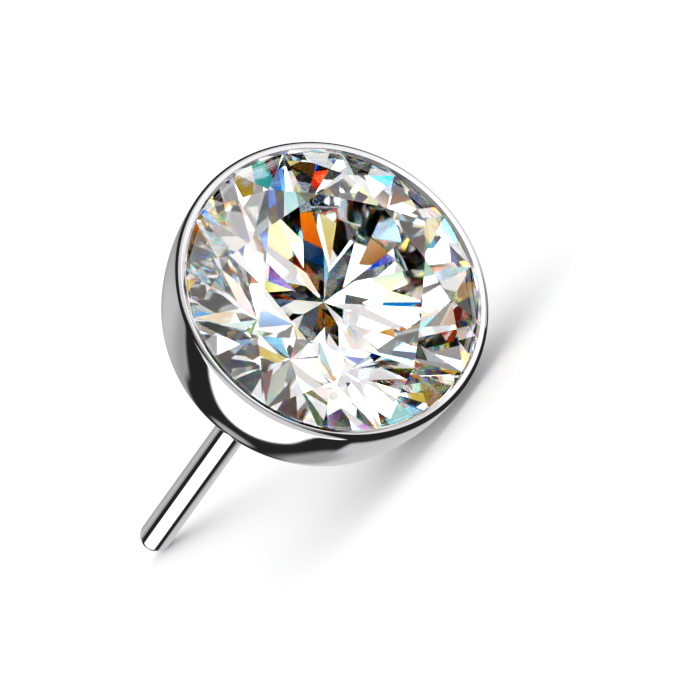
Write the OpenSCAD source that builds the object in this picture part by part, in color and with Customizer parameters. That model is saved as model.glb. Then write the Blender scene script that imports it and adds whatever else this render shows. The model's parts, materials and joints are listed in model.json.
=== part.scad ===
// Threadless gem ball end: a clear round brilliant in a polished half-ball setting,
// on a straight press-fit pin. It lies as it would by itself, on the side of the
// half ball and on the tip of the pin. All sizes are in millimetres.

/* [Half ball] */
// Outside diameter of the half ball at its widest line
head_d = 5.02; // [5:0.02:6]
// Radius of the long, nearly straight arc behind the widest line
side_r = 4.8; // [4:0.1:6]
// Angle that the side arc turns through, in degrees
side_turn = 16; // [12:1:20]
// Radius of the shoulder arc between the side and the back
shoulder_r = 1.35; // [1.2:0.05:1.8]
// Angle from the widest line to the end of the shoulder arc, in degrees
shoulder_turn = 49; // [45:1:60]
// Radius of the rounding on the outside of the lip
lip_r = 0.11; // [0.1:0.01:0.13]
// Diameter of the opening that the lip leaves round the stone
lip_open_d = 4.68; // [4.66:0.01:4.7]

/* [Stone] */
// Diameter of the stone at its girdle
stone_d = 4.73; // [4.72:0.01:4.76]
// Height of the table above the widest line of the half ball
table_h = 0.67; // [0.65:0.01:0.69]
// Width of the table from corner to corner
table_d = 2.72; // [2.66:0.02:2.76]
// Diameter of the circle through the outer tips of the star facets
star_d = 3.55; // [3.4:0.05:3.8]
// Angle of the crown's kite facets to the table, in degrees
crown_angle = 33.75; // [33.25:0.25:34.25]
// Angle of the pavilion's main facets to the table, in degrees
pavilion_angle = 41.75; // [41:0.25:42.5]
// Thickness of the girdle where it is thickest
girdle_h = 0.09; // [0.07:0.01:0.11]
// Length of the lower girdle facets, as a share of the pavilion
lower_share = 0.79; // [0.7:0.01:0.85]
// Turn of the stone in its setting, in degrees
stone_turn = 5.5; // [0:0.5:44.5]

/* [Pin] */
// Diameter of the pin
pin_d = 0.5; // [0.4:0.05:0.6]
// Length of the pin from the back of the half ball to its rounded tip
pin_len = 6.7; // [5.5:0.1:8]
// Depth of the hole in the back of the half ball that holds the pin
pin_seat = 0.3; // [0.2:0.05:0.3]

/* [Hidden] */

// Gap between two pieces that are pressed or burnished together
gap = 0.015;
// The seated end of the pin is turned down by this much in radius, and tapers by
// as much again to its end, so that it starts in its hole
tenon_step = 0.015;
// Clearance under the pavilion, which bulges past a plain cone between its mains
seat_drop = 0.06;
// Length that cutting shapes run past what they cut
past = 0.5;
// What a disc that rounds a corner is larger by, so that it crosses its neighbours
hair = 0.0001;
// Smoothness of the turned surfaces
fn_turned = 96;

head_r = head_d / 2;
pin_r = pin_d / 2;
lip_open_r = lip_open_d / 2;

// Centres of the three tangent arcs that draw the half ball, as [radius, height]
side_c = [head_r - side_r, 0];
shoulder_c = side_c + (side_r - shoulder_r) * [cos(side_turn), -sin(side_turn)];
back_r = shoulder_r + shoulder_c.x / cos(shoulder_turn);
back_c = shoulder_c + (shoulder_r - back_r) * [cos(shoulder_turn), -sin(shoulder_turn)];
back_h = back_c.y - back_r;

// A brilliant has eight of each kind of main facet round its axis
fold = 8;
fold_turn = 360 / fold;
half_turn = fold_turn / 2;
// Segments of the girdle from a main facet to halfway to the next
girdle_steps = 4;

// The stone's own radii and heights
girdle_r = stone_d / 2;
table_r = table_d / 2;
star_r = star_d / 2;
lower_r = girdle_r * (1 - lower_share);
girdle_top = table_h - tan(crown_angle) * (girdle_r - table_r);
girdle_low = girdle_top - girdle_h;
star_h = table_h - tan(crown_angle) * (star_r * cos(half_turn) - table_r);
lower_h = girdle_low - tan(pavilion_angle) * (girdle_r - lower_r * cos(half_turn));
culet_h = girdle_low - tan(pavilion_angle) * girdle_r;

// The girdle bore, the undercut below the lip and the seat below the pavilion
bore_r = girdle_r + gap;
undercut_top = girdle_top + tan(crown_angle) * (girdle_r - lip_open_r) + gap;
seat_h = girdle_low - seat_drop;
seat_bottom = seat_h - tan(pavilion_angle) * bore_r;

// Heights along the pin, measured from the widest line of the half ball
pin_top = back_h + pin_seat;
pin_tip = back_h - pin_len;
pin_shoulder = back_h - gap;

// How far the half ball, and the pin's round tip, reach below the axis at its
// centre when the gem's axis is tipped up by an angle
function head_reach(tilt) =
    tilt < side_turn
    ? side_c.x * cos(tilt) - side_c.y * sin(tilt) + side_r
    : shoulder_c.x * cos(tilt) - shoulder_c.y * sin(tilt) + shoulder_r;
function tip_reach(tilt) = -(pin_tip + pin_r) * sin(tilt) + pin_r;

// The tilt at which both touch the same floor, found by halving the interval
function rest_tilt(low, high, tries) =
    let (middle = (low + high) / 2)
    tries == 0
    ? middle
    : tip_reach(middle) < head_reach(middle)
    ? rest_tilt(middle, high, tries - 1)
    : rest_tilt(low, middle, tries - 1);
tilt = rest_tilt(low = 5, high = 30, tries = 40);
axis_h = head_reach(tilt);

// Reach to the front, of the table's corners, and to the back, of the pin's tip
front_reach = max([for (k = [0:fold - 1])
    table_h * cos(tilt) - table_r * sin(stone_turn + k * fold_turn) * sin(tilt)]);
rear_reach = -(pin_tip + pin_r) * cos(tilt) + pin_r;
centre_y = (front_reach - rear_reach) / 2;

// Stands a piece that is drawn with its gem axis up as the stud rests on a floor
module at_rest() {
    translate([0, centre_y, axis_h])
        rotate([90 - tilt, 0, 0])
            children();
}

// A point at a distance from a centre, at an angle below the widest line
function below(centre, distance, angle) = centre + distance * [cos(angle), -sin(angle)];

// A corner to be rounded off: a wedge from the arc's centre less the disc. The disc
// is a hair larger than the arc, so that it crosses its neighbours and not only touches
module corner(centre, radius, from, to) {
    far = 3 * radius;
    difference() {
        polygon([centre, below(centre, far, from), below(centre, far, to)]);
        translate(centre)
            circle(r = radius + hair, $fn = fn_turned);
    }
}

// Half section of the half ball's outside, from the axis to the lip
module head_outline() {
    difference() {
        intersection() {
            translate([0, back_h - past])
                square([head_r + past, lip_r - back_h + past]);
            translate(side_c)
                circle(r = side_r, $fn = fn_turned);
            translate(back_c)
                circle(r = back_r, $fn = fn_turned);
        }
        corner(shoulder_c, shoulder_r, side_turn, shoulder_turn);
        corner([head_r - lip_r, 0], lip_r, -90, 0);
    }
}

// Half section of what is turned away inside: the opening, the girdle's bore
// and the seat under the pavilion. The lip is burnished to the slope of the crown
module seat_outline() {
    lip_top = undercut_top + tan(crown_angle) * past;
    polygon([
        [0, seat_bottom],
        [bore_r, seat_h],
        [bore_r, girdle_top],
        [lip_open_r, undercut_top],
        [lip_open_r + past, lip_top],
        [0, lip_top]
    ]);
}

module half_ball_setting() {
    color([0.72, 0.72, 0.74])
        at_rest()
            difference() {
                rotate_extrude($fn = fn_turned)
                    difference() {
                        head_outline();
                        seat_outline();
                    }
                translate([0, 0, back_h - past])
                    cylinder(r = pin_r - tenon_step + gap, h = pin_seat + gap + past, $fn = fn_turned);
            }
}

module pin() {
    color([0.74, 0.74, 0.76])
        at_rest()
            rotate_extrude($fn = fn_turned) {
                polygon([
                    [0, pin_shoulder - past],
                    [pin_r - tenon_step, pin_shoulder - past],
                    [pin_r - tenon_step, pin_shoulder],
                    [pin_r - 2 * tenon_step, pin_top],
                    [0, pin_top]
                ]);
                translate([0, pin_tip + pin_r])
                    square([pin_r, pin_shoulder - pin_tip - pin_r]);
                translate([0, pin_tip + pin_r])
                    intersection() {
                        circle(r = pin_r, $fn = fn_turned);
                        translate([0, -pin_r])
                            square(pin_r);
                    }
            }
}

// A point of the stone from its radius, its angle round the axis and its height
function at(radius, angle, height) = [radius * cos(angle), radius * sin(angle), height];

// Height where a plane through three points passes over a place
function plane_h(a, b, c, place) =
    let (normal = cross(b - a, c - a))
    a.z - (normal.x * (place.x - a.x) + normal.y * (place.y - a.y)) / normal.z;

// A girdle point on the plane of the facet that ends in a tip, a main point and a
// point midway between two mains
function girdle_point(main_angle, step, side, tip, height) =
    let (
        angle = main_angle + side * half_turn * step / girdle_steps,
        flat = at(girdle_r, angle, 0),
        main_point = at(girdle_r, main_angle, height),
        mid_point = at(girdle_r, main_angle + side * half_turn, height)
    )
    [flat.x, flat.y, plane_h(tip, main_point, mid_point, flat)];

// The girdle points from one main facet to the next, on the two facets between them
// that meet at a tip
function girdle_stretch(main, tip_r, tip_h, height) =
    let (tip = at(tip_r, main + half_turn, tip_h))
    concat(
        [for (s = [0:girdle_steps - 1]) girdle_point(main, s, 1, tip, height)],
        [for (s = [girdle_steps:-1:1]) girdle_point(main + fold_turn, s, -1, tip, height)]
    );

module stone() {
    per_main = 2 * girdle_steps;
    ring = fold * per_main;
    // Points: table corners, star tips, upper girdle, lower girdle, the tips of
    // the lower girdle facets, and the culet
    turns = [for (k = [0:fold - 1]) stone_turn + k * fold_turn];
    table_points = [for (turn = turns) at(table_r, turn, table_h)];
    star_points = [for (turn = turns) at(star_r, turn + half_turn, star_h)];
    upper = [for (turn = turns) each girdle_stretch(turn, star_r, star_h, girdle_top)];
    lower = [for (turn = turns) each girdle_stretch(turn, lower_r, lower_h, girdle_low)];
    lower_points = [for (turn = turns) at(lower_r, turn + half_turn, lower_h)];
    points = concat(table_points, star_points, upper, lower, lower_points, [[0, 0, culet_h]]);

    // First index of each group of points
    star_at = fold;
    upper_at = star_at + fold;
    lower_at = upper_at + ring;
    tip_at = lower_at + ring;
    culet_at = tip_at + fold;
    last = fold - 1;

    // Faces wind clockwise when seen from outside the stone
    table = [[for (k = [last:-1:0]) k]];
    stars = [for (k = [0:last]) [k, (k + 1) % fold, star_at + k]];
    kites = [for (k = [0:last])
        [k, star_at + k, upper_at + k * per_main, star_at + (k + last) % fold]];
    upper_girdle = [for (k = [0:last], half = [0:1])
        concat(
            [star_at + k],
            [for (s = [girdle_steps:-1:0])
                upper_at + (k * per_main + half * girdle_steps + s) % ring]
        )];
    girdle = [for (s = [0:ring - 1])
        [upper_at + s, upper_at + (s + 1) % ring, lower_at + (s + 1) % ring, lower_at + s]];
    lower_girdle = [for (k = [0:last], half = [0:1])
        concat(
            [tip_at + k],
            [for (s = [0:girdle_steps])
                lower_at + (k * per_main + half * girdle_steps + s) % ring]
        )];
    mains = [for (k = [0:last])
        [culet_at, tip_at + (k + last) % fold, lower_at + k * per_main, tip_at + k]];

    color([0.88, 0.93, 1.0, 0.6])
        at_rest()
            polyhedron(
                points = points,
                faces = concat(table, stars, kites, upper_girdle, girdle, lower_girdle, mains)
            );
}

half_ball_setting();
stone();
pin();
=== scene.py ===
import itertools
import json
from math import atan2, cos, pi, radians, sin, tan

import bmesh
import bpy
from mathutils import Matrix, Vector


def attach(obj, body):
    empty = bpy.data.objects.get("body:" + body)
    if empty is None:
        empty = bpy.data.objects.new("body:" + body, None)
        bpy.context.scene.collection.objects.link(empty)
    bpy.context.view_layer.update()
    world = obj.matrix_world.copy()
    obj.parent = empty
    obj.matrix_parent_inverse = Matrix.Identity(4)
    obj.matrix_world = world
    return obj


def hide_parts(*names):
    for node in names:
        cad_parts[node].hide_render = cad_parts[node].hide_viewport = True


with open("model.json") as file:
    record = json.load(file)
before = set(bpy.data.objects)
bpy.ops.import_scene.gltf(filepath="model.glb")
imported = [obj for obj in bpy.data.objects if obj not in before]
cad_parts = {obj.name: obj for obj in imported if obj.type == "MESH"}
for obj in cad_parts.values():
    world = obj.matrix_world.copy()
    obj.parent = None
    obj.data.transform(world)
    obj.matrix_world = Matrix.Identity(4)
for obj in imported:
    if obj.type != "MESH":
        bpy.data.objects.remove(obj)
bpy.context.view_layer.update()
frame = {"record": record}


# Half ball
# The setting is a cup turned from titanium bar and polished to a mirror. Its thin lip
# is burnished over the stone, and a blind hole in its back takes the pin.
MM = 0.001

HEAD_R = 2.51 * MM
SIDE_R = 4.8 * MM
SIDE_TURN = radians(16)
SHOULDER_R = 1.35 * MM
SHOULDER_TURN = radians(49)
LIP_R = 0.11 * MM
LIP_OPEN_R = 2.34 * MM
LIP_TOP_TURN = radians(72)
LIP_TOP_SLOPE = radians(20)
LIP_EDGE_R = 2.375 * MM
LIP_ROUND = 0.007 * MM
GAP = 0.015 * MM

TURN_STEPS = 288
BACK_STEPS = 48
SHOULDER_STEPS = 28
SIDE_STEPS = 24
LIP_STEPS = 20
LIP_ROUND_STEPS = 6
TURNED_WELD = 0.0001 * MM
CREASE = radians(35)

# Centres of the three tangent arcs of the outside, as radius and height
side_centre = Vector((HEAD_R - SIDE_R, 0))
shoulder_centre = side_centre + (SIDE_R - SHOULDER_R) * Vector((cos(SIDE_TURN), -sin(SIDE_TURN)))
back_r = SHOULDER_R + shoulder_centre.x / cos(SHOULDER_TURN)
back_centre = shoulder_centre + (SHOULDER_R - back_r) * Vector((cos(SHOULDER_TURN), -sin(SHOULDER_TURN)))
back_h = back_centre.y - back_r

# The pin's mount gives the gem's axis, and so how the whole part lies
pin_mount = frame["record"]["mounts"][0]
pin_away = Vector(pin_mount["axis"])
pin_free_length = pin_mount["dims"]["length_mm"] * MM
gem_tilt = atan2(-pin_away.z, pin_away.y)
head_centre = Vector(pin_mount["pos_m"]) + pin_away * (back_h - GAP - pin_free_length / 2)
stand = Matrix.Translation(head_centre) @ Matrix.Rotation(pi / 2 - gem_tilt, 4, "X")


def arc(centre, radius, start, end, steps):
    """Points on an arc as radius and height, its angles counted below the widest line."""
    angles = [start + (end - start) * i / steps for i in range(steps + 1)]
    return [Vector((centre.x + radius * cos(a), centre.y - radius * sin(a))) for a in angles]


def rounded(before, corner, after, reach, steps):
    """A small round in place of a corner, from a distance before it to as much after it."""
    to_before = (before - corner).normalized()
    to_after = (after - corner).normalized()
    half = to_before.angle(to_after) / 2
    centre = corner + (to_before + to_after).normalized() * reach / cos(half)
    start = corner + to_before * reach - centre
    end = corner + to_after * reach - centre
    return [centre + start.slerp(end, i / steps).normalized() * start.length for i in range(steps + 1)]


def node_tree(name, sockets):
    """An empty Geometry Nodes tree with one geometry in and out, and its named inputs."""
    tree = bpy.data.node_groups.new(name, "GeometryNodeTree")
    tree.interface.new_socket("Geometry", in_out="INPUT", socket_type="NodeSocketGeometry")
    tree.interface.new_socket("Geometry", in_out="OUTPUT", socket_type="NodeSocketGeometry")
    for label, kind in sockets:
        tree.interface.new_socket(label, in_out="INPUT", socket_type=f"NodeSocket{kind}")
    start = tree.nodes.new("NodeGroupInput")
    end = tree.nodes.new("NodeGroupOutput")
    return tree, start, end


def grown(name, mesh, tree, values, place):
    """Runs a tree on a mesh and returns the result as a plain piece in its place."""
    seed = bpy.data.objects.new(name + "_seed", mesh)
    bpy.context.scene.collection.objects.link(seed)
    modifier = seed.modifiers.new("tree", "NODES")
    modifier.node_group = tree
    sockets = {s.name: s.identifier for s in tree.interface.items_tree if s.in_out == "INPUT"}
    for label, value in values.items():
        modifier[sockets[label]] = value
    graph = bpy.context.evaluated_depsgraph_get()
    result = bpy.data.meshes.new_from_object(seed.evaluated_get(graph), depsgraph=graph)
    seed.modifiers.remove(modifier)
    bpy.data.objects.remove(seed)
    result.name = name
    result.transform(place)
    piece = bpy.data.objects.new(name, result)
    bpy.context.scene.collection.objects.link(piece)
    return piece


def turning_tree():
    """Turns a half section, drawn as radius and height, round the gem's axis."""
    sockets = [("Steps", "Int"), ("Guide radius", "Float"), ("Weld", "Float"), ("Material", "Material")]
    tree, start, end = node_tree("turning", sockets)
    make, link = tree.nodes.new, tree.links.new
    section = make("GeometryNodeMeshToCurve")
    guide = make("GeometryNodeCurvePrimitiveCircle")
    offset = make("ShaderNodeCombineXYZ")
    minus = make("ShaderNodeMath")
    minus.operation = "MULTIPLY"
    minus.inputs[1].default_value = -1.0
    shift = make("GeometryNodeSetPosition")
    sweep = make("GeometryNodeCurveToMesh")
    weld = make("GeometryNodeMergeByDistance")
    realize = make("GeometryNodeRealizeInstances")
    paint = make("GeometryNodeSetMaterial")
    link(start.outputs["Geometry"], section.inputs["Mesh"])
    link(start.outputs["Guide radius"], minus.inputs[0])
    link(minus.outputs[0], offset.inputs["X"])
    link(section.outputs["Curve"], shift.inputs["Geometry"])
    link(offset.outputs[0], shift.inputs["Offset"])
    link(start.outputs["Steps"], guide.inputs["Resolution"])
    link(start.outputs["Guide radius"], guide.inputs["Radius"])
    link(guide.outputs["Curve"], sweep.inputs["Curve"])
    link(shift.outputs["Geometry"], sweep.inputs["Profile Curve"])
    link(sweep.outputs["Mesh"], weld.inputs["Geometry"])
    link(start.outputs["Weld"], weld.inputs["Distance"])
    link(weld.outputs["Geometry"], realize.inputs["Geometry"])
    link(realize.outputs["Geometry"], paint.inputs["Geometry"])
    link(start.outputs["Material"], paint.inputs["Material"])
    link(paint.outputs["Geometry"], end.inputs["Geometry"])
    return tree


turning = turning_tree()


def turned(name, section, material):
    """A turned piece from its half section, with its faces outwards and smooth up to a crease."""
    mesh = bpy.data.meshes.new(name + "_section")
    points = [(p.x, -p.y, 0) for p in section]
    mesh.from_pydata(points, [(i, i + 1) for i in range(len(points) - 1)], [])
    values = {"Steps": TURN_STEPS, "Guide radius": HEAD_R, "Weld": TURNED_WELD, "Material": material}
    piece = grown(name, mesh, turning, values, stand)
    work = bmesh.new()
    work.from_mesh(piece.data)
    bmesh.ops.recalc_face_normals(work, faces=work.faces)
    work.to_mesh(piece.data)
    work.free()
    piece.data.shade_smooth()
    piece.data.set_sharp_from_angle(angle=CREASE)
    return piece


RING_SCALE = 30
RING_DETAIL = 3
RING_BUMP = 0.02
RING_DEPTH = 0.001 * MM
HAZE_SCALE = 0.9
HAZE_DETAIL = 4
HAZE_RANGE = (0.3, 0.7)
POLISH_ROUGHNESS = (0.03, 0.06)
POLISH_TINTS = ((0.84, 0.83, 0.85, 1), (0.81, 0.80, 0.82, 1))


def titanium(name):
    """Mirror-polished titanium: a cool grey, with faint rings from turning and a patchy polish."""
    material = bpy.data.materials.new(name)
    material.use_nodes = True
    nodes, link = material.node_tree.nodes, material.node_tree.links.new
    shader = nodes["Principled BSDF"]
    shader.inputs["Metallic"].default_value = 1.0

    # Coordinates of the piece with its turning axis up, in millimetres
    place = nodes.new("ShaderNodeTexCoord")
    upright = nodes.new("ShaderNodeMapping")
    upright.vector_type = "TEXTURE"
    upright.inputs["Location"].default_value = head_centre
    upright.inputs["Rotation"].default_value = (pi / 2 - gem_tilt, 0, 0)
    upright.inputs["Scale"].default_value = (MM, MM, MM)
    link(place.outputs["Object"], upright.inputs["Vector"])

    # Rings: noise that changes with the radius and the height alone
    parts = nodes.new("ShaderNodeSeparateXYZ")
    radius = nodes.new("ShaderNodeVectorMath")
    radius.operation = "LENGTH"
    flat = nodes.new("ShaderNodeVectorMath")
    flat.operation = "MULTIPLY"
    flat.inputs[1].default_value = (1, 1, 0)
    section = nodes.new("ShaderNodeCombineXYZ")
    rings = nodes.new("ShaderNodeTexNoise")
    rings.inputs["Scale"].default_value = RING_SCALE
    rings.inputs["Detail"].default_value = RING_DETAIL
    bump = nodes.new("ShaderNodeBump")
    bump.inputs["Strength"].default_value = RING_BUMP
    bump.inputs["Distance"].default_value = RING_DEPTH
    link(upright.outputs["Vector"], parts.inputs[0])
    link(upright.outputs["Vector"], flat.inputs[0])
    link(flat.outputs["Vector"], radius.inputs[0])
    link(radius.outputs["Value"], section.inputs["X"])
    link(parts.outputs["Z"], section.inputs["Z"])
    link(section.outputs["Vector"], rings.inputs["Vector"])
    link(rings.outputs["Fac"], bump.inputs["Height"])
    link(bump.outputs["Normal"], shader.inputs["Normal"])

    # Polish: cloudy patches that are a little less clear and a little darker
    haze = nodes.new("ShaderNodeTexNoise")
    haze.inputs["Scale"].default_value = HAZE_SCALE
    haze.inputs["Detail"].default_value = HAZE_DETAIL
    rough = nodes.new("ShaderNodeMapRange")
    rough.inputs["From Min"].default_value = HAZE_RANGE[0]
    rough.inputs["From Max"].default_value = HAZE_RANGE[1]
    rough.inputs["To Min"].default_value = POLISH_ROUGHNESS[0]
    rough.inputs["To Max"].default_value = POLISH_ROUGHNESS[1]
    tint = nodes.new("ShaderNodeValToRGB")
    for stop, haze_level, colour in zip(tint.color_ramp.elements, HAZE_RANGE, POLISH_TINTS):
        stop.position = haze_level
        stop.color = colour
    link(upright.outputs["Vector"], haze.inputs["Vector"])
    link(haze.outputs["Fac"], rough.inputs["Value"])
    link(haze.outputs["Fac"], tint.inputs["Fac"])
    link(rough.outputs["Result"], shader.inputs["Roughness"])
    link(tint.outputs["Color"], shader.inputs["Base Color"])
    return material


titanium_polish = titanium("polished_titanium")

# The hidden inside follows the stone, so the stone's own sizes come here too
STONE_R = 2.365 * MM
TABLE_H = 0.67 * MM
TABLE_R = 1.36 * MM
STAR_R = 1.775 * MM
CROWN = radians(33.75)
PAVILION = radians(41.75)
GIRDLE_H = 0.09 * MM
LOWER_SHARE = 0.79
SEAT_DROP = 0.06 * MM
girdle_top = TABLE_H - tan(CROWN) * (STONE_R - TABLE_R)
girdle_low = girdle_top - GIRDLE_H

PIN_R = 0.25 * MM
PIN_SEAT = 0.3 * MM
PIN_TENON = 0.015 * MM

bore_r = STONE_R + GAP
seat_h = girdle_low - SEAT_DROP
undercut_h = girdle_top + tan(CROWN) * (STONE_R - LIP_OPEN_R) + GAP
hole_r = PIN_R - PIN_TENON + GAP
hole_top = back_h + PIN_SEAT + GAP
hole_mouth_turn = pi / 2 - hole_r / back_r

# The lip is round outside, nearly flat on top, and falls steeply to its foot on the stone
lip_centre = Vector((HEAD_R - LIP_R, 0))
lip_crest = lip_centre + LIP_R * Vector((cos(LIP_TOP_TURN), sin(LIP_TOP_TURN)))
lip_edge = Vector((LIP_EDGE_R, lip_crest.y - tan(LIP_TOP_SLOPE) * (lip_crest.x - LIP_EDGE_R)))
lip_foot = Vector((LIP_OPEN_R, undercut_h))

half_ball_section = [
    Vector((0, hole_top)),
    Vector((hole_r, hole_top)),
    *arc(back_centre, back_r, hole_mouth_turn, SHOULDER_TURN, BACK_STEPS)[:-1],
    *arc(shoulder_centre, SHOULDER_R, SHOULDER_TURN, SIDE_TURN, SHOULDER_STEPS)[:-1],
    *arc(side_centre, SIDE_R, SIDE_TURN, 0, SIDE_STEPS)[:-1],
    *arc(lip_centre, LIP_R, 0, -LIP_TOP_TURN, LIP_STEPS),
    *rounded(lip_crest, lip_edge, lip_foot, LIP_ROUND, LIP_ROUND_STEPS),
    lip_foot,
    Vector((bore_r, girdle_top)),
    Vector((bore_r, seat_h)),
    Vector((0, seat_h - tan(PAVILION) * bore_r)),
]
half_ball = turned("half_ball", half_ball_section, titanium_polish)
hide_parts("half_ball_setting")
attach(half_ball, "root")


# Stone
# A round brilliant of clear cubic zirconia, cut with eight mains, its facets flat and
# polished. It sits in the cup below the lip and splits white light into its colours.
FOLD = 8
GIRDLE_STEPS = 4
STONE_TURN = radians(5.5)
CUT_WELD = 0.00001 * MM
FLAT_WITHIN = radians(0.05)

STONE_IOR = 2.36
DISPERSION = 0.16
STONE_ROUGHNESS = 0.02


def brilliant_sector():
    """The share of the stone from the middle of one main facet to the middle of the next."""
    half = pi / FOLD
    lower_r = STONE_R * (1 - LOWER_SHARE)
    star_h = TABLE_H - tan(CROWN) * (STAR_R * cos(half) - TABLE_R)
    lower_h = girdle_low - tan(PAVILION) * (STONE_R - lower_r * cos(half))
    culet_h = girdle_low - tan(PAVILION) * STONE_R

    def at(radius, turn, height):
        return Vector((radius * cos(turn), radius * sin(turn), height))

    star = at(STAR_R, half, star_h)
    lower = at(lower_r, half, lower_h)
    corners = [at(TABLE_R, 0, TABLE_H), at(TABLE_R, 2 * half, TABLE_H)]
    middle = Vector((0, 0, TABLE_H))
    culet = Vector((0, 0, culet_h))

    def girdle_points(tip, height):
        """Girdle points from one main to the next, on the two facets that meet at a tip."""
        points = []
        for i in range(2 * GIRDLE_STEPS + 1):
            turn = i * half / GIRDLE_STEPS
            main = at(STONE_R, 0 if i <= GIRDLE_STEPS else 2 * half, height)
            normal = (main - tip).cross(at(STONE_R, half, height) - tip)
            flat = at(STONE_R, turn, 0)
            over = tip.z - (normal.x * (flat.x - tip.x) + normal.y * (flat.y - tip.y)) / normal.z
            points.append(Vector((flat.x, flat.y, over)))
        return points

    upper = girdle_points(star, girdle_top)
    under = girdle_points(lower, girdle_low)
    mesh = bmesh.new()

    def facet(*places):
        mesh.faces.new([mesh.verts.new(p) for p in places])

    facet(middle, corners[0], corners[1])
    facet(corners[0], star, corners[1])
    facet(corners[0], upper[0], star)
    facet(corners[1], star, upper[-1])
    facet(star, *upper[: GIRDLE_STEPS + 1])
    facet(star, *upper[GIRDLE_STEPS:])
    for i in range(2 * GIRDLE_STEPS):
        facet(upper[i], under[i], under[i + 1], upper[i + 1])
    facet(lower, *reversed(under[: GIRDLE_STEPS + 1]))
    facet(lower, *reversed(under[GIRDLE_STEPS:]))
    facet(culet, under[0], lower)
    facet(culet, lower, under[-1])
    sector = bpy.data.meshes.new("brilliant_sector")
    mesh.to_mesh(sector)
    mesh.free()
    return sector


def cutting_tree():
    """Sets one sector of the stone round its axis and welds the sectors into a closed stone."""
    sockets = [("Fold", "Int"), ("Turn", "Float"), ("Weld", "Float"), ("Material", "Material")]
    tree, start, end = node_tree("cutting", sockets)
    make, link = tree.nodes.new, tree.links.new
    places = make("GeometryNodePoints")
    index = make("GeometryNodeInputIndex")
    share = make("ShaderNodeMath")
    share.operation = "DIVIDE"
    share.inputs[0].default_value = 2 * pi
    step = make("ShaderNodeMath")
    step.operation = "MULTIPLY_ADD"
    spin = make("ShaderNodeCombineXYZ")
    setting = make("GeometryNodeInstanceOnPoints")
    realize = make("GeometryNodeRealizeInstances")
    weld = make("GeometryNodeMergeByDistance")
    paint = make("GeometryNodeSetMaterial")
    link(start.outputs["Fold"], places.inputs["Count"])
    link(start.outputs["Fold"], share.inputs[1])
    link(share.outputs[0], step.inputs[0])
    link(index.outputs[0], step.inputs[1])
    link(start.outputs["Turn"], step.inputs[2])
    link(step.outputs[0], spin.inputs["Z"])
    link(places.outputs[0], setting.inputs["Points"])
    link(start.outputs["Geometry"], setting.inputs["Instance"])
    link(spin.outputs[0], setting.inputs["Rotation"])
    link(setting.outputs["Instances"], realize.inputs["Geometry"])
    link(realize.outputs["Geometry"], weld.inputs["Geometry"])
    link(start.outputs["Weld"], weld.inputs["Distance"])
    link(weld.outputs["Geometry"], paint.inputs["Geometry"])
    link(start.outputs["Material"], paint.inputs["Material"])
    link(paint.outputs["Geometry"], end.inputs["Geometry"])
    return tree


def zirconia(name, bands):
    """Clear stone: light goes in by one index, and each band of colours comes out by its own."""
    material = bpy.data.materials.new(name)
    material.use_nodes = True
    nodes, link = material.node_tree.nodes, material.node_tree.links.new
    nodes.remove(nodes["Principled BSDF"])

    def glass(shift, colour):
        node = nodes.new("ShaderNodeBsdfGlass")
        node.inputs["Color"].default_value = (*colour, 1)
        node.inputs["IOR"].default_value = STONE_IOR + shift * DISPERSION
        node.inputs["Roughness"].default_value = STONE_ROUGHNESS
        return node.outputs[0]

    out = None
    for count, (shift, colour) in enumerate(bands, start=1):
        band = glass(shift, [len(bands) * c for c in colour])
        if out is None:
            out = band
            continue
        mix = nodes.new("ShaderNodeMixShader")
        mix.inputs["Fac"].default_value = 1 / count
        link(out, mix.inputs[1])
        link(band, mix.inputs[2])
        out = mix.outputs[0]
    side = nodes.new("ShaderNodeNewGeometry")
    surface = nodes.new("ShaderNodeMixShader")
    link(side.outputs["Backfacing"], surface.inputs["Fac"])
    link(glass(0, (1, 1, 1)), surface.inputs[1])
    link(out, surface.inputs[2])
    link(surface.outputs[0], nodes["Material Output"].inputs["Surface"])
    return material


# Each band's place in the spectrum and the share of red, green and blue that it carries
SPECTRUM = [
    (-0.5, (0.45, 0.0, 0.0)),
    (-0.3, (0.35, 0.12, 0.0)),
    (-0.1, (0.20, 0.33, 0.0)),
    (0.1, (0.0, 0.38, 0.15)),
    (0.35, (0.0, 0.17, 0.40)),
    (0.6, (0.0, 0.0, 0.45)),
]
clear_zirconia = zirconia("clear_zirconia", SPECTRUM)
cut_values = {"Fold": FOLD, "Turn": STONE_TURN, "Weld": CUT_WELD, "Material": clear_zirconia}
stone = grown("brilliant", brilliant_sector(), cutting_tree(), cut_values, stand)
work = bmesh.new()
work.from_mesh(stone.data)
bmesh.ops.dissolve_limit(work, angle_limit=FLAT_WITHIN, verts=work.verts, edges=work.edges)
bmesh.ops.recalc_face_normals(work, faces=work.faces)
work.to_mesh(stone.data)
work.free()
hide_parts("stone")
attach(stone, "root")


# Pin
# A straight titanium pin with a round tip, pressed into the hole in the back of the
# half ball. It is left smooth, because a threadless post holds it by its spring.
PIN_LENGTH = 6.7 * MM
TIP_STEPS = 24
pin_tip = back_h - PIN_LENGTH
pin_shoulder = back_h - GAP
tip_centre = Vector((0, pin_tip + PIN_R))
pin_section = [
    *arc(tip_centre, PIN_R, pi / 2, 0, TIP_STEPS),
    Vector((PIN_R, pin_shoulder)),
    Vector((PIN_R - PIN_TENON, pin_shoulder)),
    Vector((PIN_R - 2 * PIN_TENON, back_h + PIN_SEAT)),
    Vector((0, back_h + PIN_SEAT)),
]
pin = turned("press_fit_pin", pin_section, titanium_polish)
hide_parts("pin")
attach(pin, "root")


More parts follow.
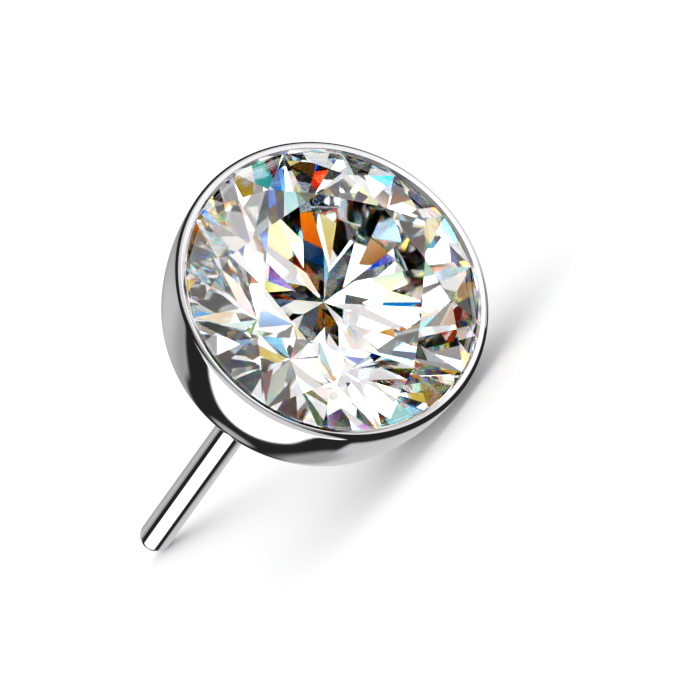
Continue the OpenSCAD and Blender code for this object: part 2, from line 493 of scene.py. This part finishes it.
# Camera
# A long lens at the photograph's angle, a little above the floor and rolled as the
# photograph is, so that the gem's axis runs up to the right in the picture.
VIEW_OFF_AXIS = radians(30.7)
AXIS_IN_PICTURE = (0.586, 0.810)
PIXELS = 700
PIXELS_PER_MM = 65.36
HEAD_PIXEL = (331.7, 291.4)
LENS = 1600.0
SENSOR = 36.0
CLIP_SHARE = 10

gem_axis = -pin_away
camera_side = Vector((-1, 0, 0))
to_camera = cos(VIEW_OFF_AXIS) * gem_axis + sin(VIEW_OFF_AXIS) * camera_side
along = (sin(VIEW_OFF_AXIS) * gem_axis - cos(VIEW_OFF_AXIS) * camera_side).normalized()
across = to_camera.cross(along)
right = (AXIS_IN_PICTURE[0] * along - AXIS_IN_PICTURE[1] * across).normalized()
up = to_camera.cross(right).normalized()

picture_width = PIXELS / PIXELS_PER_MM * MM
distance = picture_width * LENS / SENSOR
shift_right = (PIXELS / 2 - HEAD_PIXEL[0]) / PIXELS_PER_MM * MM
shift_up = (HEAD_PIXEL[1] - PIXELS / 2) / PIXELS_PER_MM * MM
aim = head_centre + right * shift_right + up * shift_up

camera_data = bpy.data.cameras.new("camera")
camera_data.lens = LENS
camera_data.sensor_width = SENSOR
camera_data.clip_start = distance / CLIP_SHARE
camera_data.clip_end = distance * CLIP_SHARE
camera = bpy.data.objects.new("camera", camera_data)
bpy.context.scene.collection.objects.link(camera)
camera.matrix_world = Matrix.Translation(aim + to_camera * distance) @ Matrix(
    (right, up, to_camera)
).transposed().to_4x4()
bpy.context.scene.camera = camera


# Floor and studio
# A plain white floor under an even white sky, which only the floor and the camera see.
# The polished pieces reflect soft boxes that stand round the part, with dark between.
FLOOR_SIZE = 2.0
FLOOR_DROP = 0.002 * MM
FLOOR_WHITE = (0.95, 0.95, 0.95, 1)
SKY_STRENGTH = 1.2

floor_mesh = bpy.data.meshes.new("floor")
edge = FLOOR_SIZE / 2
floor_corners = [(-edge, -edge, 0), (edge, -edge, 0), (edge, edge, 0), (-edge, edge, 0)]
floor_mesh.from_pydata(floor_corners, [], [(0, 1, 2, 3)])
floor = bpy.data.objects.new("floor", floor_mesh)
bpy.context.scene.collection.objects.link(floor)
floor.location.z = -FLOOR_DROP
floor_paint = bpy.data.materials.new("floor_paint")
floor_paint.use_nodes = True
floor_shader = floor_paint.node_tree.nodes["Principled BSDF"]
floor_shader.inputs["Base Color"].default_value = FLOOR_WHITE
floor_shader.inputs["Specular IOR Level"].default_value = 0.0
floor_shader.inputs["Roughness"].default_value = 1.0
floor_mesh.materials.append(floor_paint)
floor.visible_glossy = False
floor.visible_transmission = False

sky = bpy.data.worlds.new("sky")
bpy.context.scene.world = sky
sky.use_nodes = True
sky_shader = sky.node_tree.nodes["Background"]
sky_shader.inputs["Color"].default_value = (1, 1, 1, 1)
sky_shader.inputs["Strength"].default_value = SKY_STRENGTH
sky.cycles_visibility.glossy = False
sky.cycles_visibility.transmission = False

# The lights for the inside of the stone stand near it, which gives its facets gradients.
# Each further box stands a little farther out than the one before, and so behind it, and
# the walls of the room stand twice as far away.
BOX_DISTANCE = {"surfaces": 0.4, "inside": 0.03}
BOX_STEP = 0.003
BOX_RINGS = 20
OUTLINE_STEPS = 6
OVAL_CORNERS = 12
ROOM_TO_BOXES = 2
ROOM_FINENESS = 4
SKY_FACINGS = {
    "front": (to_camera, right, up),
    "behind": (-to_camera, right, up),
    "stone": (gem_axis, Vector((1, 0, 0)), gem_axis.cross(Vector((1, 0, 0)))),
}
box_order = itertools.count(1)


def rounded_outline(corners):
    """A closed smooth curve through the corners of a soft box."""
    count = len(corners)
    points = []
    for i in range(count):
        before, start, end, after = (Vector(corners[(i + k) % count]) for k in (-1, 0, 1, 2))
        for j in range(OUTLINE_STEPS):
            t = j / OUTLINE_STEPS
            points.append(
                start
                + (end - before) * t / 2
                + (before - 2.5 * start + 2 * end - after / 2) * t * t
                + (1.5 * start - before / 2 - 1.5 * end + after / 2) * t * t * t
            )
    return points


def to_edge(point, outline):
    """Distance from a point to the outline."""
    lengths = []
    for start, end in zip(outline, outline[1:] + outline[:1]):
        side = end - start
        share = max(0.0, min(1.0, (point - start).dot(side) / side.length_squared))
        lengths.append((start + side * share - point).length)
    return min(lengths)


def studio_piece(box, material, lights):
    """Shows a light only to the rays that it is for."""
    material.cycles.emission_sampling = "NONE"
    box.data.materials.append(material)
    box.visible_camera = False
    box.visible_diffuse = False
    box.visible_shadow = False
    box.visible_volume_scatter = False
    box.visible_glossy = lights == "surfaces"
    box.visible_transmission = lights == "inside"


def soft_box(name, lights, facing, middle, corners, strength, fade):
    """A lit cloth or, without strength, a dark card, on a dome round the part. Its corners are
    in degrees right and up of where it faces, and its light fades out over its last degrees.
    It is seen in the metal's and the stone's surface, or from within the stone."""
    reach = BOX_DISTANCE[lights] * (1 + BOX_STEP * next(box_order))
    pole, rightwards, upwards = SKY_FACINGS[facing]
    outline = rounded_outline(corners)
    middle = Vector(middle)
    points = []
    depths = []
    for j in range(BOX_RINGS + 1):
        # The rings lie closer together towards the edge, where the light fades
        share = 1 - (1 - j / BOX_RINGS) ** 2
        for corner in outline:
            flat = middle + (corner - middle) * share
            turn = radians(flat.length)
            aside = (flat.x * rightwards + flat.y * upwards).normalized()
            points.append(head_centre + reach * (cos(turn) * pole + sin(turn) * aside))
            depths.append(to_edge(flat, outline) if j < BOX_RINGS else 0.0)
    faces = []
    count = len(outline)
    for j in range(BOX_RINGS):
        for i in range(count):
            k = (i + 1) % count
            faces.append((j * count + i, j * count + k, (j + 1) * count + k, (j + 1) * count + i))
    mesh = bpy.data.meshes.new(name)
    mesh.from_pydata(points, [], faces)
    layer = mesh.attributes.new("depth", "FLOAT", "POINT")
    layer.data.foreach_set("value", depths)
    box = bpy.data.objects.new(name, mesh)
    bpy.context.scene.collection.objects.link(box)
    material = bpy.data.materials.new(name)
    material.use_nodes = True
    nodes, link = material.node_tree.nodes, material.node_tree.links.new
    nodes.remove(nodes["Principled BSDF"])
    depth = nodes.new("ShaderNodeAttribute")
    depth.attribute_name = "depth"
    fading = nodes.new("ShaderNodeMapRange")
    fading.interpolation_type = "SMOOTHSTEP"
    fading.inputs["From Max"].default_value = fade
    clear = nodes.new("ShaderNodeBsdfTransparent")
    light = nodes.new("ShaderNodeEmission")
    light.inputs["Strength"].default_value = strength
    cloth = nodes.new("ShaderNodeMixShader")
    link(depth.outputs["Fac"], fading.inputs["Value"])
    link(fading.outputs["Result"], cloth.inputs["Fac"])
    link(clear.outputs[0], cloth.inputs[1])
    link(light.outputs[0], cloth.inputs[2])
    link(cloth.outputs[0], nodes["Material Output"].inputs["Surface"])
    studio_piece(box, material, lights)


def room(name, lights, strength):
    """The even dim light of the room behind all the boxes."""
    mesh = bpy.data.meshes.new(name)
    ball = bmesh.new()
    radius = ROOM_TO_BOXES * BOX_DISTANCE[lights]
    middle = Matrix.Translation(head_centre)
    bmesh.ops.create_icosphere(ball, subdivisions=ROOM_FINENESS, radius=radius, matrix=middle)
    ball.to_mesh(mesh)
    ball.free()
    walls = bpy.data.objects.new(name, mesh)
    bpy.context.scene.collection.objects.link(walls)
    material = bpy.data.materials.new(name)
    material.use_nodes = True
    nodes, link = material.node_tree.nodes, material.node_tree.links.new
    nodes.remove(nodes["Principled BSDF"])
    light = nodes.new("ShaderNodeEmission")
    light.inputs["Strength"].default_value = strength
    link(light.outputs[0], nodes["Material Output"].inputs["Surface"])
    studio_piece(walls, material, lights)


def oval_box(name, lights, facing, middle, width, height, turn, strength, fade):
    """A soft box with an oval outline, its long way turned by an angle."""
    spin = Matrix.Rotation(radians(turn), 2)
    corners = []
    for i in range(OVAL_CORNERS):
        angle = 2 * pi * i / OVAL_CORNERS
        corners.append(Vector(middle) + spin @ Vector((width / 2 * cos(angle), height / 2 * sin(angle))))
    soft_box(name, lights, facing, middle, corners, strength, fade)


# The lights for the polished surfaces, nearest first: outlines in front, and then behind
oval_box("card_above", "surfaces", "front", (36, 50), 44, 44, 0, 0.0, 6)
soft_box(
    "box_key", "surfaces", "front", (4, 45),
    [(-18, 40), (-6, 8), (10, 0), (24, 10), (26, 40), (18, 76), (-10, 84)],
    1.5, 12,
)
soft_box(
    "box_key_right", "surfaces", "front", (45, 28),
    [(10, 34), (16, 2), (42, -6), (76, 4), (88, 35), (66, 62), (25, 60)],
    1.1, 12,
)
soft_box(
    "box_overhead", "surfaces", "front", (10, 60),
    [(-72, 26), (-56, 13), (-25, 6), (5, -4), (45, -8), (66, 2), (84, 34), (104, 50), (126, 20),
     (148, 50), (138, 95), (108, 126), (50, 118), (6, 114), (-32, 100), (-60, 76)],
    0.78, 14,
)
soft_box(
    "box_lens", "surfaces", "front", (-5, -5),
    [(-60, 5), (-40, -12), (-10, -24), (18, -30), (30, -10), (0, 14), (-40, 20)],
    0.4, 14,
)
soft_box(
    "box_low", "surfaces", "front", (-32, -60),
    [(-98, -24), (-60, -16), (-30, -10), (0, -14), (16, -34), (24, -60), (24, -90),
     (0, -108), (-50, -92), (-88, -58)],
    0.74, 8,
)
soft_box(
    "box_below", "surfaces", "behind", (-25, -60),
    [(-56, -28), (-40, -30), (-28, -31), (-19, -35), (-11, -43), (-6, -52), (6, -62), (20, -83),
     (-5, -98), (-45, -88), (-82, -50), (-72, -30)],
    1.6, 3,
)
oval_box("box_behind_glow", "surfaces", "behind", (-28, -2), 46, 24, 0, 0.6, 11)
soft_box(
    "box_behind_left", "surfaces", "behind", (-25, -4),
    [(-50, -9), (-43, -16), (-34, -19), (-26, -16), (-18, -14), (-6, -6), (0, 2),
     (-10, 7), (-28, 8), (-44, 2)],
    0.38, 3,
)
oval_box("box_behind_pin", "surfaces", "behind", (-17, -24), 12, 12, 0, 0.45, 3)
oval_box("card_behind", "surfaces", "behind", (-2, -30), 16, 26, 10, 0.38, 6)
soft_box(
    "box_behind_right", "surfaces", "behind", (5, -20),
    [(-3, 2), (6, -2), (13, -12), (16, -24), (13, -36), (6, -45), (0, -38), (-7, -32), (-5, -16)],
    0.66, 3,
)
room("dim_room", "surfaces", 0.02)

# The lights for the inside of the stone, nearest first. Each has its degrees right and up
# of the stone's axis, its width, height and turn in degrees, and its strength. The flags are
# black and hide what is behind them.
STONE_LIGHT_FADE = 2.5
STONE_LIGHTS = [
    ("lamp_low_left", -50, -10, 25, 10, 65, 3),
    ("flag_low_right", 35, -25, 60, 40, 110, 0),
    ("flag_left", -45, 10, 35, 20, 130, 0),
    ("card_left", -50, 30, 25, 20, 20, 3),
    ("card_low_right", 25, -50, 35, 30, 10, 1),
    ("flag_low_left", -40, -50, 35, 15, 170, 0),
    ("lamp_left", -25, 20, 30, 10, 50, 3),
    ("flag_right", 75, 5, 100, 35, 90, 0),
    ("flag_centre", 15, -5, 40, 20, 0, 0),
    ("flag_side", 35, 10, 40, 15, 110, 0),
    ("strip_middle", -5, 25, 65, 15, 95, 2.5),
    ("flag_low", -10, -35, 70, 15, 10, 0),
    ("flag_high_right", 25, 45, 35, 30, 165, 0),
    ("flag_high_left", -55, 40, 45, 25, 60, 0),
    ("flag_bottom", 15, -45, 70, 15, 145, 0),
    ("card_far_left", -65, -20, 60, 45, 100, 0.5),
    ("flag_across", -5, 20, 95, 15, 0, 0),
    ("wall_right", 50, 50, 120, 40, 90, 3),
    ("flag_middle", -20, -10, 40, 20, 15, 0),
    ("key", -15, -15, 80, 30, 70, 3),
]
for name, aside, above, width, height, turn, strength in STONE_LIGHTS:
    place = (aside, above)
    oval_box(f"stone_{name}", "inside", "stone", place, width, height, turn, strength, STONE_LIGHT_FADE)
room("dim_room_inside", "inside", 1.0)


# Light paths
# A cut stone needs many inner reflections, and they stay sharp.
cycles = bpy.context.scene.cycles
cycles.max_bounces = 32
cycles.transmission_bounces = 32
cycles.glossy_bounces = 12
cycles.blur_glossy = 0.0
bpy.context.scene.view_settings.view_transform = "Standard"
